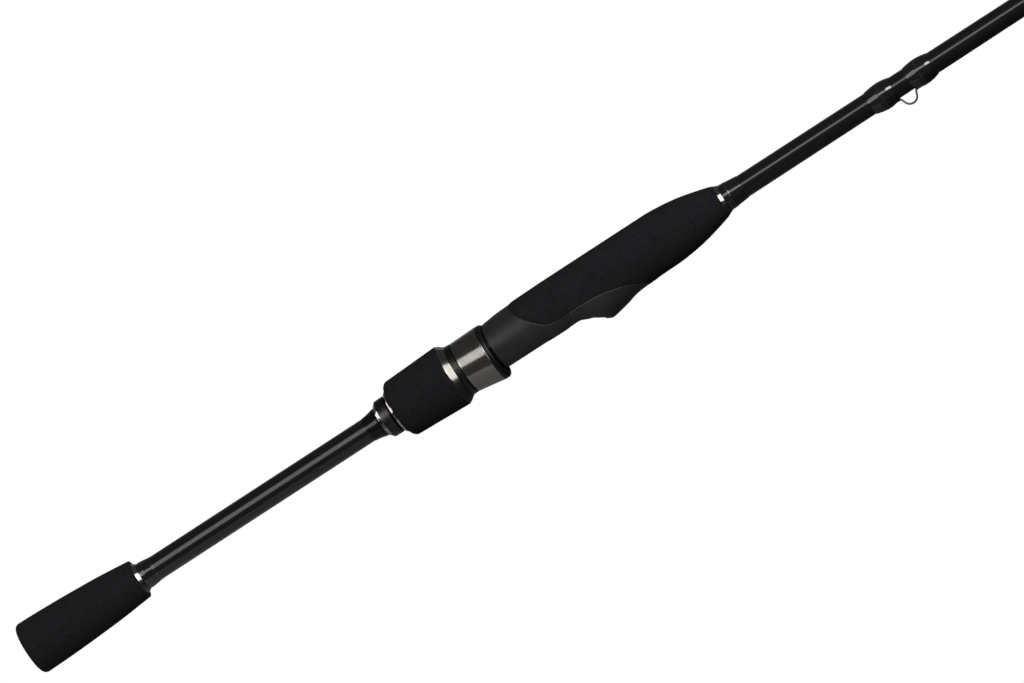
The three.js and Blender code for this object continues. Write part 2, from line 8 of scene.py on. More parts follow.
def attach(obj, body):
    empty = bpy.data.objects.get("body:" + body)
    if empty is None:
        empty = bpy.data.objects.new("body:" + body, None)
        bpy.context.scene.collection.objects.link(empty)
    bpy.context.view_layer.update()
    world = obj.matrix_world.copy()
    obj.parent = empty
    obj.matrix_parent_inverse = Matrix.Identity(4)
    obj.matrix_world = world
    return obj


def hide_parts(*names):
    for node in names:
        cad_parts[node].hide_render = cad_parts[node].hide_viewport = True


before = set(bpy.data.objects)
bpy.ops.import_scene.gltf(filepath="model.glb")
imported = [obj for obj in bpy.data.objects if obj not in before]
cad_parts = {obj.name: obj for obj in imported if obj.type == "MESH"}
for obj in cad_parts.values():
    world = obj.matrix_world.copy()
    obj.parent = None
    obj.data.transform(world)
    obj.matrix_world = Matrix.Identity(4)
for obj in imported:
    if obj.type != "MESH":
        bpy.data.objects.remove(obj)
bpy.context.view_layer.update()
SCENE = bpy.context.scene
MM = 0.001

# ------------------------------------------------------------------ tables, in millimetres
BLANK_BUTT = [(2.6, 5.8), (70, 5.78), (190, 5.75), (300, 5.62), (390, 5.45), (435, 5.38), (536, 5.15), (760, 4.55),
              (985, 3.92), (1050, 3.8)]
BLANK_TIP = [(985, 5.15), (1053, 4.95), (1110, 4.62), (1300, 3.82), (1465, 3.1), (1605, 2.52), (1735, 1.98),
             (1855, 1.48), (1962, 1.05), (1974, 1.0)]
FERRULE_START, FERRULE_END = 985.0, 1053.0
BUTT_GRIP = [(2.6, 12.88), (8, 12.8), (15, 12.6), (23, 12.3), (29, 12.0), (34, 11.7), (40, 11.37), (45, 11.0), (51, 10.45),
             (56, 9.95), (59.3, 9.62)]
NUT_GRIP = [(204.3, 14.05), (207, 14.17), (210, 14.29), (216, 14.52), (223, 14.83), (229, 15.08), (230.6, 15.14)]
ENV_TOP = [(255.2, 11.68), (257.2, 11.95), (259.1, 12.15), (261.9, 12.5), (264.6, 12.72), (270.2, 12.93), (271.3, 13.1),
           (272.8, 13.28), (275.6, 13.4), (283.8, 13.52), (289, 13.6), (344, 13.6), (346.9, 13.5), (349.6, 13.35), (352.3, 13.1),
           (355.1, 12.8), (357.8, 12.42), (360.6, 12.0), (363.3, 11.47), (366.1, 10.87), (368.8, 10.2),
           (371.5, 9.5), (374.3, 8.75), (377.0, 7.95), (378.3, 7.3)]
ENV_HALF = [(255.2, 11.68), (257.2, 11.95), (259.1, 12.15), (261.9, 12.5), (264.6, 12.72), (270.2, 12.93), (272.8, 13.1),
            (284, 13.35), (295.2, 13.4), (300.2, 13.35), (305.7, 13.15), (311.2, 13.1), (316.7, 13.2),
            (322.2, 13.35), (327.7, 13.5), (333.2, 13.6), (344, 13.58), (346.9, 13.5), (349.6, 13.35), (352.3, 13.1),
            (355.1, 12.8), (357.8, 12.42), (360.6, 12.0), (363.3, 11.47), (366.1, 10.87), (368.8, 10.2),
            (371.5, 9.5), (374.3, 8.75), (377.0, 7.95), (378.3, 7.3)]
ENV_DEEP = [(255.2, 11.68), (257.2, 11.95), (259.1, 12.15), (261.9, 12.5), (264.6, 12.72), (270.2, 12.93), (284, 13.35),
            (293.0, 13.42), (300.2, 13.7), (303.4, 15.3), (305.8, 16.9), (307.1, 17.55), (308.2, 17.78), (309.5, 17.62),
            (311.7, 17.2), (314.4, 16.65), (317.1, 16.1), (319.4, 15.45), (322.2, 14.75), (324.9, 14.35), (327.7, 14.12),
            (330.4, 14.06), (333.2, 14.0), (336, 13.75), (340, 13.64), (344, 13.6), (346.9, 13.5), (349.6, 13.35),
            (352.3, 13.1), (355.1, 12.8), (357.8, 12.42), (360.6, 12.0), (363.3, 11.47), (366.1, 10.87), (368.8, 10.2),
            (371.5, 9.5), (374.3, 8.75), (377.0, 7.95), (378.3, 7.3)]
PAD = [(255.2, 10.75), (276, 10.78), (280, 11.0), (286.6, 11.02), (288.6, 10.8), (294.6, 10.78), (297.7, 11.85), (300.4, 13.42),
       (303.3, 15.25), (305.7, 16.95), (307.4, 18.6), (310.4, 21.0)]
ENV_POWER = [(255.2, 2), (293, 2), (300, 2.6), (303, 2.9), (305.7, 2.85), (307.7, 2.7), (311.2, 2.5), (316.7, 2.3),
             (322.2, 2.15), (327.7, 2.05), (333.2, 2), (378.3, 2)]
PAD_Z = 10.75
SEAM = [(270.3, 12.6), (270.9, 10.6), (271.8, 8.6), (272.55, 7.0), (273.45, 5.4), (275.3, 2.9), (278.1, -0.2), (281.0, -2.75),
        (282.6, -3.75), (284.4, -4.45), (286.7, -4.84), (289.2, -4.98), (292.1, -5.0), (298.1, -4.78), (303.8, -4.84), (309.5, -5.3),
        (315.2, -6.4), (320.8, -7.85), (326.2, -10.35), (328.9, -12.0), (332.7, -14.2)]
GUIDES = [("guide_1", 846, 10.0, 7.6, 20.5, True), ("guide_2", 1118, 6.4, 4.7, 13.0, True),
          ("guide_3", 1308, 4.5, 3.2, 8.0, False), ("guide_4", 1472, 4.0, 2.9, 6.4, False),
          ("guide_5", 1612, 3.8, 2.9, 5.6, False), ("guide_6", 1741, 3.8, 2.9, 5.2, False),
          ("guide_7", 1861, 3.8, 2.9, 5.0, False)]


def at(table, x):
    return float(np.interp(x, [p[0] for p in table], [p[1] for p in table]))


def smooth_at(table, xs):
    """Shape-preserving cubic through the table's points."""
    X = np.array([p[0] for p in table], float)
    Y = np.array([p[1] for p in table], float)
    h, d = np.diff(X), np.diff(Y) / np.diff(X)
    m = np.zeros(len(X))
    for i in range(1, len(X) - 1):
        if d[i - 1] * d[i] > 0:
            a, b = 2 * h[i] + h[i - 1], h[i] + 2 * h[i - 1]
            m[i] = (a + b) / (a / d[i - 1] + b / d[i])
    m[0], m[-1] = d[0], d[-1]
    xs = np.clip(np.asarray(xs, float), X[0], X[-1])
    k = np.clip(np.searchsorted(X, xs, side="right") - 1, 0, len(X) - 2)
    t = (xs - X[k]) / h[k]
    return ((1 + 2 * t) * (1 - t) ** 2 * Y[k] + t * (1 - t) ** 2 * h[k] * m[k]
            + t * t * (3 - 2 * t) * Y[k + 1] + t * t * (t - 1) * h[k] * m[k + 1])


# ------------------------------------------------------------------ mesh making
def mesh_object(name, verts, faces, sharp=32.0):
    """One closed mesh, in millimetres, faces outward, smooth shaded with its real edges kept."""
    verts = np.asarray(verts, float)
    vol = 0.0
    for f in faces:
        a = verts[f[0]]
        for i in range(1, len(f) - 1):
            vol += float(np.dot(a, np.cross(verts[f[i]], verts[f[i + 1]])))
    if vol < 0:
        faces = [tuple(reversed(f)) for f in faces]
    me = bpy.data.meshes.new(name)
    me.from_pydata([tuple(v) for v in verts * MM], [], faces)
    me.validate()
    me.update()
    ob = bpy.data.objects.new(name, me)
    SCENE.collection.objects.link(ob)
    finish_shading(ob, sharp)
    return ob


def finish_shading(ob, sharp=32.0):
    me = ob.data
    me.polygons.foreach_set("use_smooth", np.ones(len(me.polygons), bool))
    me.set_sharp_from_angle(angle=math.radians(sharp))
    me.update()


def revolve(profile, seg, radial=None, shape=None):
    """Vertices and faces of a profile of [x, value...] rows turned about X. Closed loop, or from axis to axis.
    shape(row, theta) gives (y, z); by default the row's first value is the radius."""
    rows = [tuple(p) for p in profile]
    n = len(rows)
    on_axis = [abs(r[1]) < 1e-9 for r in rows]
    open_ends = on_axis[0] and on_axis[-1]
    th = np.linspace(0, 2 * np.pi, seg, endpoint=False)
    verts, index = [], []
    for i, r in enumerate(rows):
        if on_axis[i]:
            index.append([len(verts)] * seg)
            verts.append((r[0], 0.0, 0.0))
        else:
            index.append(list(range(len(verts), len(verts) + seg)))
            for t in th:
                if shape:
                    y, z = shape(r, t)
                else:
                    y, z = r[1] * math.sin(t), r[1] * math.cos(t)
                verts.append((r[0], y, z))
    faces = []
    last = n - 1 if open_ends else n
    for i in range(last):
        a, b = index[i], index[(i + 1) % n]
        for j in range(seg):
            k = (j + 1) % seg
            f = []
            for v in (a[j], a[k], b[k], b[j]):
                if v not in f:
                    f.append(v)
            if len(f) > 2:
                faces.append(tuple(f))
    return verts, faces


def eased(rows, steps=5):
    """Rounds the corners of a closed profile. Each row is (x, value..., ease): ease is how far back along each
    side the rounding starts, in millimetres; 0 keeps the corner."""
    P = [np.array(r[:-1], float) for r in rows]
    E = [r[-1] for r in rows]
    out = []
    n = len(P)
    for i in range(n):
        a, b, c = P[i - 1], P[i], P[(i + 1) % n]
        la, lc = np.linalg.norm(a - b), np.linalg.norm(c - b)
        e = E[i]
        if e <= 0 or la < 1e-6 or lc < 1e-6:
            out.append(tuple(b))
            continue
        p, q = b + (a - b) / la * min(e, la * 0.48), b + (c - b) / lc * min(e, lc * 0.48)
        for k in range(steps + 1):
            t = k / steps
            out.append(tuple((1 - t) ** 2 * p + 2 * t * (1 - t) * b + t * t * q))
    return out


def turned(name, rows, seg=128, steps=5, sharp=32.0):
    v, f = revolve(eased(rows, steps), seg)
    return mesh_object(name, v, f, sharp)


def toward(th, power=1.6):
    return ((1 - math.cos(th)) / 2) ** power


def eccentric(name, rows, seg=144, steps=5, weight=toward, sharp=32.0):
    """As turned, with a top and a bottom radius in each row."""
    def shape(r, t):
        q = r[1] + (r[2] - r[1]) * weight(t)
        return q * math.sin(t), q * math.cos(t)
    v, f = revolve(eased(rows, steps), seg, shape=shape)
    return mesh_object(name, v, f, sharp)


def boxed(name, x0, x1, y0, y1, z0, z1):
    v = [(x, y, z) for x in (x0, x1) for y in (y0, y1) for z in (z0, z1)]
    f = [(0, 1, 3, 2), (4, 6, 7, 5), (0, 4, 5, 1), (2, 3, 7, 6), (0, 2, 6, 4), (1, 5, 7, 3)]
    return mesh_object(name, v, f)


def across(name, outline, y0, y1):
    """A prism of an x, z outline between two y planes."""
    n = len(outline)
    v = [(x, y0, z) for x, z in outline] + [(x, y1, z) for x, z in outline]
    f = [tuple(range(n)), tuple(reversed(range(n, 2 * n)))]
    f += [(i, i + n, (i + 1) % n + n, (i + 1) % n) for i in range(n)]
    return mesh_object(name, v, f)


def carve(ob, tool, how="DIFFERENCE", solver="MANIFOLD", sharp=32.0):
    """Applies one boolean and removes the tool."""
    m = ob.modifiers.new("carve", "BOOLEAN")
    m.operation, m.object, m.solver = how, tool, solver
    bpy.context.view_layer.update()
    dg = bpy.context.evaluated_depsgraph_get()
    done = bpy.data.meshes.new_from_object(ob.evaluated_get(dg))
    ob.modifiers.clear()
    old = ob.data
    ob.data = done
    done.name = ob.name
    bpy.data.meshes.remove(old)
    bpy.data.objects.remove(tool)
    if len(done.polygons) == 0:
        raise RuntimeError(f"{ob.name}: the boolean left nothing")
    finish_shading(ob, sharp)
    return ob


def spline_points(points, steps):
    """Centripetal Catmull-Rom through the points."""
    P = [np.array(p, float) for p in points]
    P = [2 * P[0] - P[1]] + P + [2 * P[-1] - P[-2]]
    out = []
    for i in range(1, len(P) - 2):
        p0, p1, p2, p3 = P[i - 1:i + 3]
        t0 = 0.0
        t1 = t0 + max(1e-6, np.linalg.norm(p1 - p0)) ** 0.5
        t2 = t1 + max(1e-6, np.linalg.norm(p2 - p1)) ** 0.5
        t3 = t2 + max(1e-6, np.linalg.norm(p3 - p2)) ** 0.5
        for k in range(steps):
            t = t1 + (t2 - t1) * k / steps
            a1 = (t1 - t) / (t1 - t0) * p0 + (t - t0) / (t1 - t0) * p1
            a2 = (t2 - t) / (t2 - t1) * p1 + (t - t1) / (t2 - t1) * p2
            a3 = (t3 - t) / (t3 - t2) * p2 + (t - t2) / (t3 - t2) * p3
            b1 = (t2 - t) / (t2 - t0) * a1 + (t - t0) / (t2 - t0) * a2
            b2 = (t3 - t) / (t3 - t1) * a2 + (t - t1) / (t3 - t1) * a3
            out.append((t2 - t) / (t2 - t1) * b1 + (t - t1) / (t2 - t1) * b2)
    out.append(P[-2])
    return np.array(out)


def swept(name, path, radii, sides=16, flat=1.0, sharp=50.0):
    """A round or flattened bar along a path with domed ends; radii is one number or one per point."""
    path = np.asarray(path, float)
    n = len(path)
    radii = np.full(n, float(radii)) if np.isscalar(radii) else np.asarray(radii, float)
    tang = np.gradient(path, axis=0)
    tang /= np.linalg.norm(tang, axis=1)[:, None]
    up = np.array([0.0, 1.0, 0.0]) if abs(tang[0][1]) < 0.9 else np.array([0.0, 0.0, 1.0])
    verts, rings = [], []
    side = np.cross(tang[0], up)
    side /= np.linalg.norm(side)
    for i in range(n):
        side = side - tang[i] * np.dot(side, tang[i])
        side /= np.linalg.norm(side)
        other = np.cross(tang[i], side)
        ring = []
        for k in range(sides):
            a = 2 * math.pi * k / sides
            verts.append(tuple(path[i] + radii[i] * (flat * math.cos(a) * side + math.sin(a) * other)))
            ring.append(len(verts) - 1)
        rings.append(ring)
    faces = [(rings[i][k], rings[i][(k + 1) % sides], rings[i + 1][(k + 1) % sides], rings[i + 1][k])
             for i in range(n - 1) for k in range(sides)]
    for end, i, s in ((rings[0], 0, -1), (rings[-1], n - 1, 1)):
        verts.append(tuple(path[i] + tang[i] * s * radii[i] * 0.45))
        tip = len(verts) - 1
        for k in range(sides):
            q = (end[(k + 1) % sides], end[k], tip)
            faces.append(q if s < 0 else tuple(reversed(q)))
    return mesh_object(name, verts, faces, sharp)


# ------------------------------------------------------------------ materials
def material(name):
    m = bpy.data.materials.new(name)
    m.use_nodes = True
    nt = m.node_tree
    nt.nodes.clear()
    out = nt.nodes.new("ShaderNodeOutputMaterial")
    bsdf = nt.nodes.new("ShaderNodeBsdfPrincipled")
    nt.links.new(bsdf.outputs[0], out.inputs["Surface"])
    return m, nt, bsdf


def coords(nt, scale=(1, 1, 1)):
    tc = nt.nodes.new("ShaderNodeTexCoord")
    mp = nt.nodes.new("ShaderNodeMapping")
    mp.inputs["Scale"].default_value = scale
    nt.links.new(tc.outputs["Object"], mp.inputs["Vector"])
    return mp.outputs["Vector"]


def noise(nt, vec, scale, detail=3.0, rough=0.55, out="Fac"):
    n = nt.nodes.new("ShaderNodeTexNoise")
    n.inputs["Scale"].default_value = scale
    n.inputs["Detail"].default_value = detail
    n.inputs["Roughness"].default_value = rough
    nt.links.new(vec, n.inputs["Vector"])
    return n.outputs[out]


def voronoi(nt, vec, scale, feature="F1", out="Distance", randomness=1.0):
    n = nt.nodes.new("ShaderNodeTexVoronoi")
    n.feature = feature
    n.inputs["Scale"].default_value = scale
    n.inputs["Randomness"].default_value = randomness
    nt.links.new(vec, n.inputs["Vector"])
    return n.outputs[out]


def ramp(nt, fac, stops, interpolation="LINEAR"):
    n = nt.nodes.new("ShaderNodeValToRGB")
    n.color_ramp.interpolation = interpolation
    els = n.color_ramp.elements
    while len(els) < len(stops):
        els.new(0.5)
    for e, (p, c) in zip(els, stops):
        e.position = p
        e.color = (*c, 1) if len(c) == 3 else c
    nt.links.new(fac, n.inputs["Fac"])
    return n.outputs["Color"]


def spread(nt, fac, a, b, lo=0.0, hi=1.0):
    n = nt.nodes.new("ShaderNodeMapRange")
    n.inputs["From Min"].default_value, n.inputs["From Max"].default_value = lo, hi
    n.inputs["To Min"].default_value, n.inputs["To Max"].default_value = a, b
    nt.links.new(fac, n.inputs["Value"])
    return n.outputs["Result"]


def maths(nt, op, a, b):
    n = nt.nodes.new("ShaderNodeMath")
    n.operation = op
    for i, v in enumerate((a, b)):
        if isinstance(v, (int, float)):
            n.inputs[i].default_value = v
        else:
            nt.links.new(v, n.inputs[i])
    return n.outputs[0]


def bump(nt, bsdf, height, strength, distance, socket="Normal"):
    n = nt.nodes.new("ShaderNodeBump")
    n.inputs["Strength"].default_value = strength
    n.inputs["Distance"].default_value = distance
    nt.links.new(height, n.inputs["Height"])
    nt.links.new(n.outputs["Normal"], bsdf.inputs[socket])
    return n


def foam():
    """Closed-cell EVA: sanded, with the cut cells showing as a fine mottled grain."""
    m, nt, b = material("eva_foam")
    v = coords(nt)
    cells = voronoi(nt, v, 2300)
    fine = noise(nt, v, 4200, 2.0, 0.6)
    patch = noise(nt, v, 420, 4.0, 0.6)
    grain = maths(nt, "ADD", maths(nt, "MULTIPLY", cells, 0.9), maths(nt, "MULTIPLY", fine, 0.8))
    tone = maths(nt, "ADD", maths(nt, "MULTIPLY", grain, 0.55), maths(nt, "MULTIPLY", patch, 0.45))
    col = ramp(nt, tone, [(0.30, (0.0033, 0.0033, 0.0040)), (0.52, (0.0061, 0.0060, 0.0069)), (0.78, (0.0133, 0.0129, 0.0149))])
    nt.links.new(col, b.inputs["Base Color"])
    nt.links.new(spread(nt, grain, 0.82, 0.98, 0.2, 1.0), b.inputs["Roughness"])
    b.inputs["Specular IOR Level"].default_value = 0.08
    bump(nt, b, grain, 0.55, 0.00012)
    return m


def soft_touch():
    m, nt, b = material("soft_touch")
    v = coords(nt)
    grain = noise(nt, v, 3600, 3.0, 0.6)
    patch = noise(nt, v, 160, 3.0, 0.5)
    col = ramp(nt, patch, [(0.3, (0.0146, 0.0136, 0.0134)), (0.7, (0.0190, 0.0178, 0.0175))])
    nt.links.new(col, b.inputs["Base Color"])
    nt.links.new(spread(nt, maths(nt, "ADD", maths(nt, "MULTIPLY", grain, 0.6), maths(nt, "MULTIPLY", patch, 0.4)), 0.40, 0.54, 0.3, 0.7), b.inputs["Roughness"])
    b.inputs["Specular IOR Level"].default_value = 0.28
    bump(nt, b, grain, 0.25, 0.00004)
    return m


def black_plastic():
    m, nt, b = material("black_plastic")
    v = coords(nt)
    grain = noise(nt, v, 2600, 3.0, 0.6)
    patch = noise(nt, v, 220, 3.0, 0.5)
    nt.links.new(ramp(nt, patch, [(0.3, (0.0035, 0.0035, 0.0038)), (0.7, (0.0060, 0.0060, 0.0065))]), b.inputs["Base Color"])
    nt.links.new(spread(nt, grain, 0.30, 0.44, 0.3, 0.7), b.inputs["Roughness"])
    b.inputs["Specular IOR Level"].default_value = 0.22
    bump(nt, b, grain, 0.15, 0.00003)
    return m


def turned_metal(name, dark, light, rough, line=0.10):
    """Metal spun on a lathe: fine rings round the axis, slight tone drift, a few rubs."""
    m, nt, b = material(name)
    rings = noise(nt, coords(nt, (5200, 60, 60)), 1.0, 3.0, 0.6)
    rub = noise(nt, coords(nt, (260, 260, 260)), 1.0, 4.0, 0.6)
    mix = maths(nt, "ADD", maths(nt, "MULTIPLY", rings, 0.45), maths(nt, "MULTIPLY", rub, 0.55))
    nt.links.new(ramp(nt, mix, [(0.32, dark), (0.68, light)]), b.inputs["Base Color"])
    nt.links.new(spread(nt, mix, rough * 0.85, rough * 1.25, 0.3, 0.7), b.inputs["Roughness"])
    b.inputs["Metallic"].default_value = 1.0
    bump(nt, b, rings, line, 0.00002)
    return m


def carbon_blank():
    """Clear-coated graphite: faint hoop tape lines under a glossy finish."""
    m, nt, b = material("carbon_blank")
    tape = noise(nt, coords(nt, (900, 40, 40)), 1.0, 2.0, 0.5)
    weave = noise(nt, coords(nt, (120, 2600, 2600)), 1.0, 3.0, 0.6)
    mix = maths(nt, "ADD", maths(nt, "MULTIPLY", tape, 0.5), maths(nt, "MULTIPLY", weave, 0.5))
    nt.links.new(ramp(nt, mix, [(0.3, (0.0022, 0.0021, 0.0022)), (0.7, (0.0042, 0.0039, 0.0042))]), b.inputs["Base Color"])
    nt.links.new(spread(nt, weave, 0.30, 0.42, 0.3, 0.7), b.inputs["Roughness"])
    b.inputs["Coat Weight"].default_value = 1.0
    b.inputs["Coat Roughness"].default_value = 0.05
    b.inputs["Coat IOR"].default_value = 1.58
    b.inputs["Specular IOR Level"].default_value = 0.12
    bump(nt, b, noise(nt, coords(nt, (260, 260, 260)), 1.0, 2.0, 0.5), 0.06, 0.00003)
    return m


def epoxy_wrap(name="epoxy_wrap", index=1.8, rough=0.04):
    """Dark winding thread, one turn every 0.16 mm, under a thick clear finish."""
    m, nt, b = material(name)
    tc = nt.nodes.new("ShaderNodeTexCoord")
    w = nt.nodes.new("ShaderNodeTexWave")
    w.wave_type, w.bands_direction, w.wave_profile = "BANDS", "X", "SIN"
    w.inputs["Scale"].default_value = 312.5
    w.inputs["Distortion"].default_value = 0.4
    w.inputs["Detail"].default_value = 1.0
    nt.links.new(tc.outputs["Object"], w.inputs["Vector"])
    patch = noise(nt, coords(nt), 500, 2.0, 0.5)
    mix = maths(nt, "ADD", maths(nt, "MULTIPLY", w.outputs["Fac"], 0.5), maths(nt, "MULTIPLY", patch, 0.5))
    thread = ramp(nt, mix, [(0.25, (0.0017, 0.0017, 0.0019)), (0.75, (0.0034, 0.0034, 0.0038))])
    sep = nt.nodes.new("ShaderNodeSeparateXYZ")
    nt.links.new(tc.outputs["Object"], sep.inputs[0])
    band = 0.0
    for c in (0.3833, 0.4657, 0.4858):        # a turn or two of grey trim thread
        band = maths(nt, "ADD", band, maths(nt, "LESS_THAN", maths(nt, "ABSOLUTE", maths(nt, "SUBTRACT", sep.outputs["X"], c), 0.0), 0.00022))
    trim = nt.nodes.new("ShaderNodeMix")
    trim.data_type = "RGBA"
    trim.inputs["B"].default_value = (0.017, 0.017, 0.020, 1)
    nt.links.new(band, trim.inputs["Factor"])
    nt.links.new(thread, trim.inputs["A"])
    nt.links.new(trim.outputs["Result"], b.inputs["Base Color"])
    nt.links.new(spread(nt, w.outputs["Fac"], 0.5, 0.62), b.inputs["Roughness"])
    b.inputs["Coat Weight"].default_value = 1.0
    b.inputs["Coat Roughness"].default_value = rough
    b.inputs["Coat IOR"].default_value = index
    b.inputs["Specular IOR Level"].default_value = 0.06
    bump(nt, b, w.outputs["Fac"], 0.25, 0.00004)
    bump(nt, b, noise(nt, coords(nt), 240, 2.0, 0.5), 0.05, 0.00003, "Coat Normal")
    return m


def ceramic():
    m, nt, b = material("guide_ceramic")
    v = coords(nt)
    patch = noise(nt, v, 900, 3.0, 0.5)
    nt.links.new(ramp(nt, patch, [(0.3, (0.016, 0.016, 0.018)), (0.7, (0.024, 0.024, 0.027))]), b.inputs["Base Color"])
    nt.links.new(spread(nt, patch, 0.08, 0.16, 0.3, 0.7), b.inputs["Roughness"])
    b.inputs["Coat Weight"].default_value = 0.6
    b.inputs["Coat Roughness"].default_value = 0.05
    return m


def arbor():
    m, nt, b = material("arbor_foam")
    v = coords(nt)
    cells = voronoi(nt, v, 1500)
    nt.links.new(ramp(nt, cells, [(0.1, (0.20, 0.21, 0.21)), (0.7, (0.32, 0.33, 0.33))]), b.inputs["Base Color"])
    nt.links.new(spread(nt, cells, 0.85, 0.98), b.inputs["Roughness"])
    bump(nt, b, cells, 0.5, 0.0001)
    return m


MAT = {
    "eva_foam": foam(), "soft_touch": soft_touch(), "black_plastic": black_plastic(),
    "gunmetal": turned_metal("gunmetal", (0.235, 0.222, 0.200), (0.305, 0.290, 0.262), 0.155, 0.08),
    "bright_trim": turned_metal("bright_trim", (0.33, 0.30, 0.285), (0.41, 0.375, 0.355), 0.10, 0.05),
    "dark_ring": turned_metal("dark_ring", (0.044, 0.042, 0.043), (0.066, 0.062, 0.063), 0.32, 0.2),
    "carbon_blank": carbon_blank(), "epoxy_wrap": epoxy_wrap(), "epoxy_satin": epoxy_wrap("epoxy_satin", 1.28, 0.12), "guide_ceramic": ceramic(),
    "guide_steel": turned_metal("guide_steel", (0.085, 0.085, 0.088), (0.125, 0.125, 0.13), 0.26, 0.1),
    "arbor_foam": arbor(),
}


def piece(ob, body, slot, *nodes):
    ob.data.materials.clear()
    ob.data.materials.append(MAT[slot])
    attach(ob, body)
    if nodes:
        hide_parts(*nodes)
    return ob


# CAD nodes that stay as they are get their material
for name in ("seat_arbor_rear", "seat_arbor_middle", "seat_arbor_front"):
    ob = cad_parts[name]
    ob.data.materials.clear()
    ob.data.materials.append(MAT["arbor_foam"])
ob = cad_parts["locking_nut_sleeve"]
ob.data.materials.clear()
ob.data.materials.append(MAT["black_plastic"])


# ------------------------------------------------------------------ handle: grips, blank, trims
xs = np.linspace(2.6, 59.3, 54)
end = [(2.4 - 2.4 * math.sin(a), 10.48 + 2.4 * math.cos(a), 0) for a in np.linspace(math.pi / 2, 0, 14)[:-1]]
outer = [(x, r, 0) for x, r in zip(xs, smooth_at(BUTT_GRIP, xs))]
grip = turned("butt_grip_foam", end + outer + [(60.45, 9.5, 0.5), (60.45, 5.95, 0.2), (2.3, 5.95, 0.1), (2.3, 8.35, 0.1), (0.0, 8.35, 0.12)], 144)
piece(grip, "rod", "eva_foam", "butt_grip")

piece(turned("butt_plug_cap", [(0, 0, 0), (0, 8.2, 0.5), (2.0, 8.2, 0.15), (2.0, 4.5, 0.1), (13, 4.5, 0.3), (14, 3.9, 0.3), (14, 0, 0)], 96),
      "rod", "black_plastic", "butt_end_plug")
piece(turned("butt_check_cone", [(60.55, 5.95, 0.1), (60.55, 7.75, 0.15), (62.45, 6.55, 0.15), (62.45, 5.95, 0.1)], 128),
      "rod", "bright_trim", "butt_winding_check")
piece(turned("butt_winding", [(62.55, 5.9, 0), (62.55, 6.4, 0.15), (63.6, 6.46, 0.5), (65.4, 6.36, 1.0), (67.6, 6.06, 0.5), (68.5, 5.88, 0.3), (69.9, 5.84, 0.03), (69.9, 5.8, 0)], 96),
      "rod", "epoxy_wrap", "butt_wrap")


def blank(name, table, inner, x0, x1):
    xs = np.unique(np.concatenate([np.arange(x0, x1, 12.0), [x1]]))
    out = [(x, r, 0) for x, r in zip(xs, smooth_at(table, xs))]
    return turned(name, out + inner, 72)


piece(blank("blank_lower", BLANK_BUTT, [(1050, 2.8, 0), (985, 2.92, 0), (536, 4.15, 0), (300, 4.62, 0), (2.6, 4.8, 0)], 2.6, 1050),
      "rod", "carbon_blank", "blank_butt_section")

piece(turned("seat_rear_winding", [(186.0, 5.87, 0), (186.0, 5.92, 0.1), (187.8, 6.1, 0.9), (189.8, 6.5, 1.0), (191.6, 6.98, 0.5), (192.6, 7.0, 0.2), (192.6, 5.87, 0)], 96),
      "rod", "epoxy_satin", "seat_rear_wrap")
piece(turned("seat_rear_cone", [(192.75, 6.0, 0), (192.75, 7.1, 0.15), (194.7, 9.2, 0.12), (194.75, 9.2, 0.05), (194.75, 6.0, 0)], 128),
      "rod", "bright_trim", "seat_rear_trim_ring")
piece(turned("seat_end_ring", [(194.9, 6.0, 0), (194.9, 9.3, 0.28), (199.3, 9.38, 0.3), (199.3, 6.0, 0)], 128),
      "rod", "dark_ring", "seat_end_collar")


# ------------------------------------------------------------------ threaded barrel
def screw(name, x0, turns, pitch, crest, root, land, seg):
    """Right-hand thread with small flats, one closed solid about X."""
    prof = [(-land, crest), (land, crest), (pitch / 2 - land, root), (pitch / 2 + land, root)]
    n = turns * seg
    verts, rows = [], []
    for k, (u, r) in enumerate(prof):
        row = []
        for i in range(n + (seg if k == 0 else 0) + 1):
            a = 2 * math.pi * i / seg
            verts.append((x0 + pitch * i / seg + u, -r * math.sin(a), r * math.cos(a)))
            row.append(len(verts) - 1)
        rows.append(row)
    A = len(verts)
    verts.append((x0 + pitch / 2, 0, 0))
    B = len(verts)
    verts.append((x0 + pitch * (turns + 0.5), 0, 0))
    faces = []
    for k in range(4):
        a = rows[k]
        b = rows[k + 1] if k < 3 else rows[0][seg:]
        for i in range(n):
            faces.append((a[i], a[i + 1], b[i + 1], b[i]))
    for i in range(seg):
        faces.append((A, rows[0][i + 1], rows[0][i]))
        faces.append((B, rows[0][n + i], rows[0][n + i + 1]))
    chain = [rows[k][0] for k in range(4)] + [rows[0][seg]]
    for p, q in zip(chain, chain[1:]):
        faces.append((A, p, q))
    chain = [rows[k][n] for k in range(4)] + [rows[0][n + seg]]
    for p, q in zip(chain, chain[1:]):
        faces.append((B, q, p))
    return mesh_object(name, verts, faces)


barrel = screw("seat_barrel", 195.0, 18, 2.5, 9.2, 8.5, 0.18, 64)
carve(barrel, turned("t", [(200.1, 0, 0), (200.1, 12, 0), (231.6, 12, 0), (231.6, 0, 0)], 32), "INTERSECT")
carve(barrel, turned("t", [(199.45, 0, 0), (199.45, 8.4, 0.3), (231.3, 8.4, 0), (231.4, 10.2, 0), (231.9, 10.7, 0.3), (255.0, 10.7, 0.2), (255.0, 9.3, 0),
                           (262, 9.3, 0.2), (262, 0, 0)], 128), "UNION")
carve(barrel, turned("t", [(190, 0, 0), (190, 7.6, 0), (270, 7.6, 0), (270, 0, 0)], 64))
carve(barrel, boxed("t", 230.4, 255.01, -14, 14, -14, -10.2))
for s in (-1, 1):
    carve(barrel, boxed("t", 230.4, 255.01, min(s * 9.75, s * 14), max(s * 9.75, s * 14), -1.4, 1.4))
piece(barrel, "rod", "black_plastic", "threaded_barrel")


